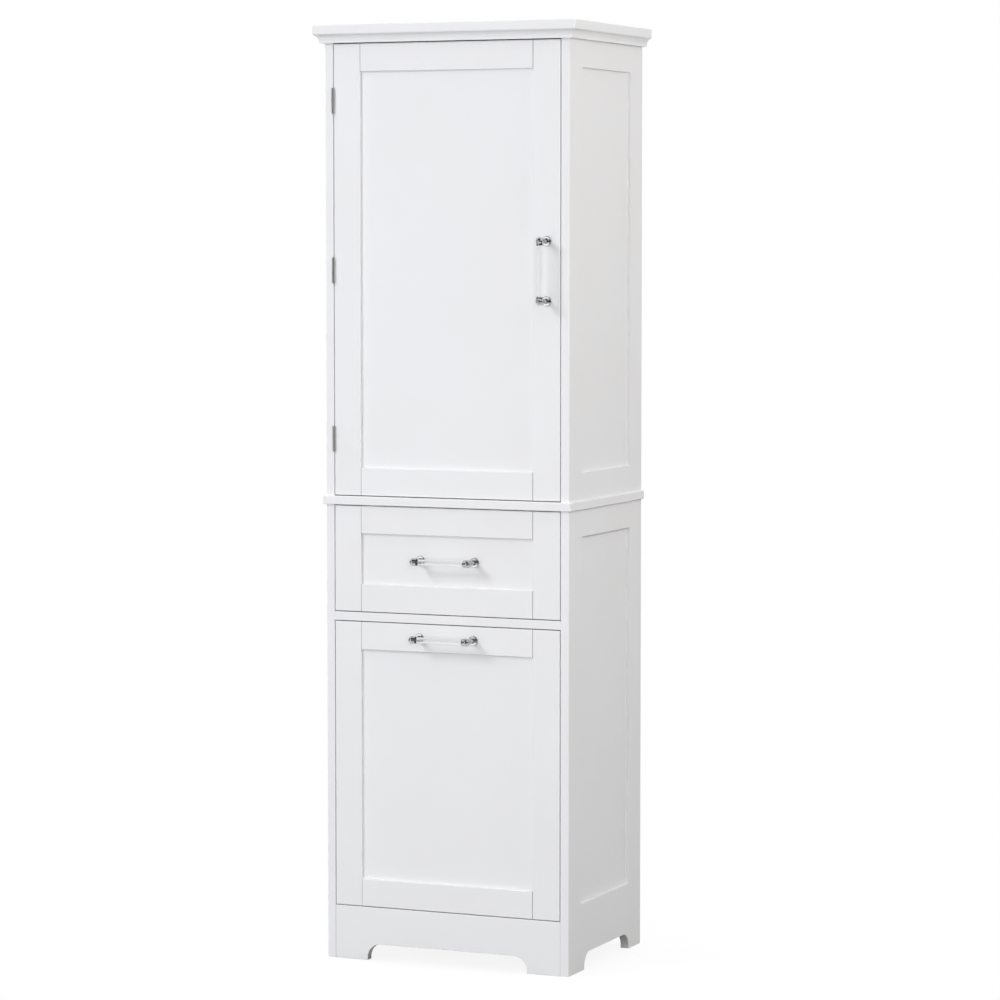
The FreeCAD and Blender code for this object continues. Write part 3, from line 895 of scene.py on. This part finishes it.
@dataclass
class Finishes:
    """Every finish of the cabinet, made once."""

    paint: SatinPaint = SatinPaint()
    # How strong the painted shade is in the seams at each end of these boards.
    shaded_joints: dict[str, Pair] = field(
        default_factory=lambda: {
            "door_rails": (0.75, 0.8),
            "drawer_rails": (0.75, 0.8),
            "hamper_rails": (0.6, 0.75),
            "apron": (0.6, 0.15),
        }
    )
    arches: dict[str, Arch] = field(
        default_factory=lambda: {
            "apron": APRON_ARCH,
            "lower_side_left": SIDE_ARCH,
            "lower_side_right": SIDE_ARCH,
        }
    )
    shared: dict[str, bpy.types.Material] = field(default_factory=dict)

    def make(self) -> None:
        """Makes the finishes that several nodes share."""
        finishes = [
            PressedFace("box_board", (0.845, 0.848, 0.845), (0.825, 0.826, 0.822), 0.46, 700.0),
            PressedFace("back_board", (0.800, 0.802, 0.800), (0.770, 0.768, 0.762), 0.60, 480.0),
            PlatedMetal("chrome", (0.55, 0.555, 0.56), (0.50, 0.505, 0.51), 0.055, 0.03),
            PlatedMetal("screw_steel", (0.58, 0.58, 0.59), (0.50, 0.50, 0.51), 0.33, 0.15),
            PlatedMetal(
                "hinge_nickel", (0.60, 0.60, 0.60), (0.53, 0.53, 0.53), 0.36, 0.14, BRUSHED_UP
            ),
            PlatedMetal(
                "pin_steel", (0.60, 0.60, 0.61), (0.54, 0.54, 0.55), 0.28, 0.12, BRUSHED_ACROSS
            ),
            ClearAcrylic(),
            MouldedPlastic("nylon", (0.86, 0.86, 0.84), (0.83, 0.83, 0.80)),
            # Black rubber for the pull seats, dark enough to serve as painted shade in the sockets
            # too.
            MouldedPlastic("black_rubber_shade", (0.022, 0.022, 0.023), (0.034, 0.034, 0.035), 0.55),
            MouldedPlastic("runner_steel", (0.84, 0.84, 0.83), (0.81, 0.81, 0.80), 0.42),
        ]
        for finish in finishes:
            self.shared[finish.name] = finish.material()

    def dress(
        self, nodes: dict[str, bpy.types.Object], slots: dict[str, str], folds: Folds
    ) -> None:
        """Gives every CAD node its finish.

        Args:
            nodes: The CAD nodes by name.
            slots: The record's slot of each node.
            folds: Fold and board width of the nodes that are two like boards.
        """
        for seed, (name, node) in enumerate(sorted(nodes.items()), start=1):
            slot = slots[name]
            if slot == "painted_board":
                fold, inner = folds.get(name, (Fold.NONE, 0.0))
                extent = Extent.of(name, fold, inner)
                shaded_joints = self.shaded_joints.get(name, (0.0, 0.0))
                arch = self.arches.get(name)
                material = self.paint.material(f"paint_{name}", extent, seed, shaded_joints, arch)
            else:
                material = self.shared[slot]
            node.data.materials.clear()
            node.data.materials.append(material)


@dataclass
class Fitting(ABC):
    """Something that the scene adds to the cabinet, with its sizes in millimetres."""

    finishes: Finishes

    @abstractmethod
    def build(self) -> None:
        """Builds its pieces."""


@dataclass
class Pull(Fitting):
    """A bar pull: two turned chrome posts and the clear bar that their heads hold.

    The stem's profile gives each point's reach and how far it is outside the stem. The ring's
    profile gives each point's reach from the socket's mouth and its radius.
    """

    name: str
    body: Body
    way: Way
    rosette: float = 8.5
    reach: float = 30.0
    head: float = 6.75
    stem: float = 4.0
    collar: float = 6.2
    collar_end: float = 6.2
    socket: float = 5.06
    socket_floor: float = 2.2
    pad: float = 4.9
    pad_lift: float = 0.02
    pad_ease: float = 0.05
    bar: float = 5.0
    bar_chamfer: float = 0.6
    seat: float = 0.45
    screw_radius: float = 4.0
    screw_height: float = 2.4
    shank: float = 2.0
    shank_tip: float = 1.4
    tip_length: float = 0.8
    stem_profile: Profile = (
        (2.2, 1.2),
        (2.2, 0.9),
        (2.35, 0.45),
        (2.7, 0.15),
        (3.3, 0.0),
        (20.8, 0.0),
        (22.2, 0.25),
        (23.0, 0.9),
    )
    ring_profile: Profile = (
        (0.0, 5.04),
        (0.0, 5.75),
        (0.5, 5.75),
        (0.9, 5.4),
        (0.9, 5.04),
        (0.0, 5.04),
    )

    def build(self) -> None:
        """Builds the pull in place of its CAD nodes."""
        node = f"{self.name}_posts"
        low, high = corners(node)
        along = self.way.vector()
        middle = (low + high) / 2
        half = (high - low).dot(along) / 2 - self.rosette * MM
        face = Vector((middle.x, high.y, middle.z))
        posts = Form()
        shade_rubber = Form()
        for side in SIDES:
            foot = face + along * half * side
            head = foot + OUT * self.reach * MM
            self.post(posts, foot)
            self.holder(posts, head, -along * side)
            self.rubber_shade(shade_rubber, head, -along * side)
        name = f"{self.name}_turned_posts"
        posts.piece(name, self.body, "chrome", self.finishes, replaced=[node], sharp=24.0)
        # Black rubber seats, also painted shade in the sockets.
        shade_rubber.piece(f"{self.name}_rubber_shade_pads", self.body, "nylon", self.finishes, "black_rubber_shade")
        self.rod(along)
        self.screws()

    def post(self, form: Form, foot: Vector) -> None:
        """Adds one rosette and stem.

        Args:
            form: The mesh that takes it.
            foot: The middle of the rosette, on the front.
        """
        edge = arc(reach=1.2, radius=self.rosette - 1.0, size=1.0, start=90, end=0, count=5)
        rosette = [(0.0, 0.0), (0.0, self.rosette), *edge, (2.2, self.rosette - 1.3)]
        stem = [(reach, self.stem + outside) for reach, outside in self.stem_profile]
        bead = arc(reach=23.6, radius=self.stem + 0.9, size=0.5, start=130, end=20, count=4)
        neck = [*bead, (24.6, self.stem - 0.2), (24.6, 0.0)]
        form.turned(in_metres([*rosette, *stem, *neck]), foot, OUT)

    def holder(self, form: Form, middle: Vector, inward: Vector) -> None:
        """Adds one round head with the socket that holds the bar.

        Args:
            form: The mesh that takes it.
            middle: The head's middle.
            inward: The way from this post to the other.
        """
        shoulder = 180.0 - math.degrees(math.asin(self.collar / self.head))
        ball = arc(0.0, 0.0, self.head, start=180.0, end=180.0 - shoulder, count=22)
        edge = 0.4
        rim = arc(self.collar_end - edge, self.collar - edge, edge, start=90, end=0, count=4)
        cup = [
            (self.collar_end, self.socket),
            (self.socket_floor, self.socket),
            (self.socket_floor, 0.0),
        ]
        form.turned(in_metres([*ball, *rim, *cup]), middle, inward)

    def rubber_shade(self, form: Form, middle: Vector, inward: Vector) -> None:
        """Adds the rubber pad in a socket and the rubber ring at its mouth, both black: rubber
        seats that also serve as painted shade in the socket.

        Args:
            form: The mesh that takes them.
            middle: The head's middle.
            inward: The way from this post to the other.
        """
        floor = self.socket_floor + self.pad_lift
        top = floor + self.seat - self.pad_ease
        pad = [(floor, 0.0), (floor, self.pad), (top, self.pad), (top, 0.0)]
        form.turned(in_metres(pad), middle, inward, RING_STEPS)
        ring = [(self.collar_end + reach, radius) for reach, radius in self.ring_profile]
        form.turned(in_metres(ring), middle, inward, RING_STEPS)

    def rod(self, along: Vector) -> None:
        """Builds the clear bar, with its ends chamfered.

        Args:
            along: The way that it runs.
        """
        node = f"{self.name}_bar"
        low, high = corners(node)
        middle = (low + high) / 2
        length = (high - low).dot(along) / MM - 2 * self.seat
        start = middle - along * length * MM / 2
        edge = self.bar_chamfer
        profile = [
            (0.0, 0.0),
            (0.0, self.bar - edge),
            (edge, self.bar),
            (length - edge, self.bar),
            (length, self.bar - edge),
            (length, 0.0),
        ]
        form = Form()
        form.turned(in_metres(profile), start, along, BAR_STEPS)
        name = f"{self.name}_clear_bar"
        form.piece(name, self.body, "clear_acrylic", self.finishes, replaced=[node], sharp=30.0)

    def screws(self) -> None:
        """Builds the two cross-head screws behind the front."""
        node = f"{self.name}_screws"
        low, high = corners(node)
        along = self.way.vector()
        radius, height = self.screw_radius * MM, self.screw_height * MM
        half = (high - low).dot(along) / 2 - radius
        middle = (low + high) / 2
        form = Form()
        length = high.y - height - low.y
        shank = [
            (0.0, 0.0),
            (0.0, self.shank_tip * MM),
            (self.tip_length * MM, self.shank * MM),
            (length, self.shank * MM),
            (length, 0.0),
        ]
        for side in SIDES:
            foot = Vector((middle.x, high.y - height, middle.z)) + along * half * side
            form.screw_head(foot, -OUT, radius, height)
            form.turned(shank, foot + OUT * length, -OUT, SHANK_STEPS)
        name = f"{self.name}_cross_screws"
        form.piece(name, self.body, "screw_steel", self.finishes, replaced=[node])


@dataclass
class HingeScrews(Fitting):
    """The low cross-head screws that hold the hinge leaves."""

    centres: tuple[float, ...] = (897.5, 1185.0, 1472.5)
    spread: float = 13.0
    depth: float = -140.4
    frame_face: float = -210.0
    door_face: float = -208.5
    radius: float = 2.4
    height: float = 0.4

    def build(self) -> None:
        """Builds the screws of both leaves of every hinge."""
        leaves = (
            ("hinge_frame_screws", Body.CARCASS, self.frame_face, 1.0),
            ("hinge_door_screws", Body.DOOR, self.door_face, -1.0),
        )
        for name, body, face, side in leaves:
            form = Form()
            outward = Vector((side, 0.0, 0.0))
            for centre in self.centres:
                for step in (-self.spread, self.spread):
                    foot = Vector((face, self.depth, centre + step)) * MM
                    form.screw_head(foot, outward, self.radius * MM, self.height * MM)
            form.piece(name, body, "screw_steel", self.finishes)


@dataclass
class RunnerScrews(Fitting):
    """The screws through the upper web of the cabinet runners."""

    face: float = 208.8
    level: float = 637.0
    inset: float = 30.0
    radius: float = 3.2
    height: float = 1.2

    def build(self) -> None:
        """Builds three screws on each side."""
        low, high = corners("cabinet_runners")
        ends = (low.y + self.inset * MM, high.y - self.inset * MM)
        form = Form()
        for side in SIDES:
            inward = Vector((-side, 0.0, 0.0))
            for depth in (ends[0], sum(ends) / 2, ends[1]):
                foot = Vector((side * self.face * MM, depth, self.level * MM))
                form.screw_head(foot, inward, self.radius * MM, self.height * MM)
        form.piece("runner_screws", Body.CARCASS, "screw_steel", self.finishes)


@dataclass
class CatchParts(Fitting):
    """The pole plates of the magnetic catch and the screws of catch and strike plate."""

    pole_gap: float = 11.0
    pole_width: float = 3.0
    pole_inset: float = 1.8
    pole_proud: float = 0.12
    pole_depth: float = 2.0
    pole_edge: float = 0.1
    screw_step: float = 14.0
    radius: float = 2.6
    catch_height: float = 0.9
    strike_height: float = 0.18

    def build(self) -> None:
        """Builds plates and screws."""
        low, high = corners("door_catch")
        middle = (low + high) / 2
        poles = Form()
        screws = Form()
        radius = self.radius * MM
        inset = self.pole_inset * MM
        half = self.pole_width / 2 * MM
        front, back = low.y - self.pole_proud * MM, low.y + self.pole_depth * MM
        for side in SIDES:
            level = middle.z + side * self.pole_gap * MM
            near = Vector((low.x + inset, front, level - half))
            far = Vector((high.x - inset, back, level + half))
            poles.plate(near, far, self.pole_edge * MM)
            foot = Vector((low.x, middle.y, middle.z + side * self.screw_step * MM))
            screws.screw_head(foot, Vector((-1.0, 0.0, 0.0)), radius, self.catch_height * MM)
        poles.piece("catch_poles", Body.CARCASS, "pin_steel", self.finishes)
        screws.piece("catch_screws", Body.CARCASS, "screw_steel", self.finishes)
        low, high = corners("strike_plate")
        middle = (low + high) / 2
        strike = Form()
        foot = Vector((middle.x, high.y, middle.z))
        strike.screw_head(foot, -OUT, radius, self.strike_height * MM)
        strike.piece("strike_screw", Body.DOOR, "screw_steel", self.finishes)


@dataclass
class BackNails(Fitting):
    """The flat-headed nails round the two back panels.

    The head's profile gives each point's reach out of the panel and its radius.
    """

    panels: tuple[str, ...] = ("upper_back", "lower_back")
    inset: float = 4.0
    pitch: float = 110.0
    head: Profile = ((-0.4, 0.0), (-0.4, 1.6), (0.0, 1.6), (0.12, 1.3), (0.12, 0.0))

    def build(self) -> None:
        """Builds the nails of each panel."""
        head = in_metres(self.head)
        for panel in self.panels:
            form = Form()
            low, high = corners(panel)
            edge = self.inset * MM
            across = self.evenly(low.x + edge, high.x - edge)
            up = self.evenly(low.z + edge, high.z - edge)
            places = [(x, z) for x in (across[0], across[-1]) for z in up]
            places += [(x, z) for z in (up[0], up[-1]) for x in across[1:-1]]
            for x, z in places:
                form.turned(head, Vector((x, high.y, z)), -OUT, NAIL_STEPS)
            form.piece(f"{panel}_nails", Body.CARCASS, "pin_steel", self.finishes)

    def evenly(self, start: float, end: float) -> list[float]:
        """Places from start to end, evenly spread and about a pitch apart."""
        count = max(2, round((end - start) / (self.pitch * MM)))
        return [start + (end - start) * i / count for i in range(count + 1)]


@dataclass
class WallWashers(Fitting):
    """The steel cups round the two wall-screw holes of the hanging rail.

    The cup's profile gives each point's reach out of the rail and its radius.
    """

    spread: float = 150.0
    level: float = 1530.0
    cup: Profile = (
        (0.0, 2.9),
        (0.0, 6.5),
        (0.4, 6.5),
        (1.1, 5.6),
        (1.1, 5.0),
        (0.3, 2.9),
        (0.0, 2.9),
    )

    def build(self) -> None:
        """Builds the two cups."""
        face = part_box("hanging_rail")[0][1]
        cup = in_metres(self.cup)
        form = Form()
        for side in SIDES:
            foot = Vector((side * self.spread * MM, face, self.level * MM))
            form.turned(cup, foot, OUT, RING_STEPS)
        form.piece("wall_washers", Body.CARCASS, "screw_steel", self.finishes)


def flat_sheet(name: str, size: Pair, place: Matrix) -> bpy.types.Object:
    """Makes a flat sheet of the studio.

    Args:
        name: The sheet's name.
        size: Its width and height.
        place: Where its middle is and how it is turned.

    Returns:
        The sheet.
    """
    form = bmesh.new()
    bmesh.ops.create_grid(form, x_segments=1, y_segments=1, size=0.5)
    bmesh.ops.transform(form, matrix=place @ Matrix.Diagonal((*size, 1.0, 1.0)), verts=form.verts)
    data = bpy.data.meshes.new(name)
    form.to_mesh(data)
    form.free()
    made = placed(name, data)
    return made


def facing(place: Sequence[float], aim: Sequence[float]) -> Matrix:
    """The place and turn of something that faces a point.

    Args:
        place: Where it is.
        aim: What it faces.

    Returns:
        Its matrix.
    """
    way = Vector(place) - Vector(aim)
    return Matrix.Translation(place) @ way.to_track_quat("Z", "Y").to_matrix().to_4x4()


@dataclass(frozen=True)
class Softbox:
    """A soft lamp of the studio; bright metal shows the cards in its stead."""

    name: str
    place: Triple
    aim: Triple
    size: Pair
    watts: float
    tint: Colour = (1.0, 1.0, 1.0)

    def hang(self) -> None:
        """Hangs the lamp."""
        lamp = bpy.data.lights.new(self.name, "AREA")
        lamp.shape = "ELLIPSE"
        lamp.size, lamp.size_y = self.size
        lamp.energy = self.watts
        lamp.color = self.tint
        made = placed(self.name, lamp)
        made.matrix_world = facing(self.place, self.aim)
        made.visible_glossy = False
        made.visible_transmission = False


@dataclass(frozen=True)
class StudioCard:
    """A card that only gloss and bright metal show: dark, or bright as a window."""

    name: str
    place: Triple
    size: Pair
    glow: float
    aim: Triple = (0.0, -0.15, 0.9)

    def stand(self) -> None:
        """Stands the card, facing the cabinet."""
        made = flat_sheet(self.name, self.size, facing(self.place, self.aim))
        material, graph = new_graph(self.name)
        graph.show(graph.signal("ShaderNodeEmission", feeds={"Strength": self.glow}))
        made.data.materials.append(material)
        for ray in ("camera", "diffuse", "transmission", "shadow"):
            setattr(made, f"visible_{ray}", False)


# Tints of the lamps.
COOL = (0.97, 0.98, 1.05)
HARDLY_COOL = (0.995, 0.995, 1.015)
WARM = (1.03, 1.0, 0.985)


@dataclass
class Studio:
    """The plain studio: pale floor, soft light, white ground and the photograph's camera."""

    camera_place: Triple = (2.5894, -5.8688, 1.2481)
    camera_turn: float = 23.516
    camera_pitch: float = -4.098
    focal: float = 134.07
    sensor: float = 36.0
    view_end: float = 60.0
    sky_top: float = 0.88
    floor_size: float = 8.0
    floor_level: float = -0.4 * MM
    floor_fade: Pair = (0.25, 0.65)
    floor_shade: float = 0.26
    floor_shown: float = 0.95
    floor_keep: float = 0.11
    lamps: tuple[Softbox, ...] = (
        Softbox("soft_key", (-2.145, -3.225, 2.93), (0.0, -0.15, 0.8), (1.27, 1.27), 58.0, COOL),
        Softbox("front_bank", (-0.8, -4.0, 1.0), (0.0, -0.1, 0.9), (2.2, 1.8), 33.0, HARDLY_COOL),
        Softbox("camera_bank", (2.2, -4.2, 1.2), (0.0, -0.1, 0.9), (1.8, 1.8), 53.0),
        Softbox("right_bank", (2.2, -0.2, 1.9), (0.22, 0.0, 1.4), (1.1, 1.1), 20.9, WARM),
        Softbox("left_bank", (-2.8, 0.4, 1.6), (-0.22, 0.0, 1.0), (1.4, 1.4), 24.0),
        Softbox("rear_bank", (-0.6, 3.8, 1.5), (0.0, 0.18, 0.9), (2.0, 1.8), 50.0),
    )
    cards: tuple[StudioCard, ...] = (
        StudioCard("window_card", (-1.32, -3.35, 0.72), (1.1, 1.5), 1.65),
        StudioCard("camera_card", (1.9, -2.6, 1.1), (2.4, 1.8), 0.03),
        StudioCard("front_card", (0.1, -3.2, 1.1), (1.6, 1.8), 0.05),
        StudioCard("right_card", (2.6, -0.5, 1.0), (2.4, 1.6), 0.03),
        StudioCard("left_card", (-2.4, -1.9, 1.0), (2.2, 2.0), 0.05),
        StudioCard("top_card", (0.1, -2.0, 3.2), (3.6, 2.8), 0.05),
        StudioCard("low_card", (0.3, -1.0, 0.0), (1.6, 0.8), 0.10),
    )

    def build(self) -> None:
        """Builds the whole studio."""
        bpy.context.scene.view_settings.view_transform = "Standard"
        self.world()
        self.floor()
        for lamp in self.lamps:
            lamp.hang()
        for card in self.cards:
            card.stand()
        self.camera()

    @staticmethod
    def seen_ray(graph: Graph) -> Signal:
        """Rays that look at the ground straight, in a mirror or through clear plastic.

        Args:
            graph: The graph that needs them.

        Returns:
            1 for such a ray, otherwise 0.
        """
        path = graph.node("ShaderNodeLightPath")
        names = ("Is Camera Ray", "Is Glossy Ray", "Is Transmission Ray")
        rays = [Signal(graph, path.outputs[name]) for name in names]
        return rays[0].most(rays[1]).most(rays[2])

    def world(self) -> None:
        """Lights everything softly from above, and shows a white ground."""
        scene = bpy.context.scene
        scene.world = bpy.data.worlds.new("soft_room")
        scene.world.use_nodes = True
        graph = Graph(scene.world.node_tree)
        way = graph.signal("ShaderNodeTexCoord", output="Generated")
        rise = graph.signal("ShaderNodeSeparateXYZ", feeds={0: way}, output="Z")
        glow = rise.eased(start=0.0, end=1.0) * self.sky_top
        light, white = (
            graph.signal("ShaderNodeBackground", feeds={"Color": WHITE, "Strength": strength})
            for strength in (glow, 1.0)
        )
        shown = graph.mixed(self.seen_ray(graph), light, white)
        graph.node("ShaderNodeOutputWorld", feeds={"Surface": shown})

    def floor(self) -> None:
        """Lays a pale floor that shows white but keeps a little of the cabinet's shadow."""
        place = Matrix.Translation((0.0, 0.0, self.floor_level))
        made = flat_sheet("pale_floor", (self.floor_size, self.floor_size), place)
        material, graph = new_graph("pale_floor")
        seen = self.seen_ray(graph)
        length = {"operation": "LENGTH"}
        far = graph.signal("ShaderNodeVectorMath", length, {0: graph.place()}, "Value")
        keep = (1.0 - far.eased(*self.floor_fade)) * self.floor_keep
        shade = graph.blend(seen, (self.floor_shade,) * 3, (self.floor_shown,) * 3)
        matt = graph.signal("ShaderNodeBsdfDiffuse", feeds={"Color": shade})
        white = graph.signal("ShaderNodeEmission", feeds={"Strength": 1.0})
        graph.show(graph.mixed(seen * (1.0 - keep), matt, white))
        made.data.materials.append(material)

    def camera(self) -> None:
        """Places the camera where the photograph was taken."""
        data = bpy.data.cameras.new("photo_camera")
        data.sensor_fit = "HORIZONTAL"
        data.sensor_width = self.sensor
        data.lens = self.focal
        data.clip_end = self.view_end
        made = placed("photo_camera", data)
        made.location = self.camera_place
        pitch, turn = math.radians(90.0 + self.camera_pitch), math.radians(self.camera_turn)
        made.rotation_euler = (pitch, 0.0, turn)
        bpy.context.scene.camera = made


@dataclass
class Cabinet:
    """The cabinet: its painted boards and the fittings on them."""

    stile_width: float = 49.0
    rail_width: float = 47.0
    pulls: tuple[tuple[str, Body, Way], ...] = (
        ("door_pull", Body.DOOR, Way.UPRIGHT),
        ("drawer_pull", Body.DRAWER, Way.LEVEL),
        ("hamper_pull", Body.HAMPER, Way.LEVEL),
    )

    def folds(self) -> Folds:
        """The nodes that are two like boards.

        Returns:
            Fold and board width of each, by node.
        """
        pairs: Folds = {}
        for front in ("door", "drawer", "hamper"):
            pairs[f"{front}_stiles"] = (Fold.ACROSS, self.stile_width * MM)
            pairs[f"{front}_rails"] = (Fold.UP, self.rail_width * MM)
        return pairs

    def build(self, frame: dict[str, Any]) -> None:
        """Dresses the frame and adds the fittings.
        """
        slots = {part["node"]: part["material_slot"] for part in frame["record"]["subparts"]}
        finishes = Finishes()
        finishes.make()
        finishes.dress(frame["nodes"], slots, self.folds())
        fittings: list[Fitting] = [Pull(finishes, *pull) for pull in self.pulls]
        for kind in (HingeScrews, RunnerScrews, CatchParts, BackNails, WallWashers):
            fittings.append(kind(finishes))
        for fitting in fittings:
            fitting.build()


def main() -> None:
    """Loads the frame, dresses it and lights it."""
    logging.basicConfig(level=logging.INFO, format="%(name)s %(message)s")
    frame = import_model()
    Cabinet().build(frame)
    Studio().build()


if __name__ == "__main__":
    main()
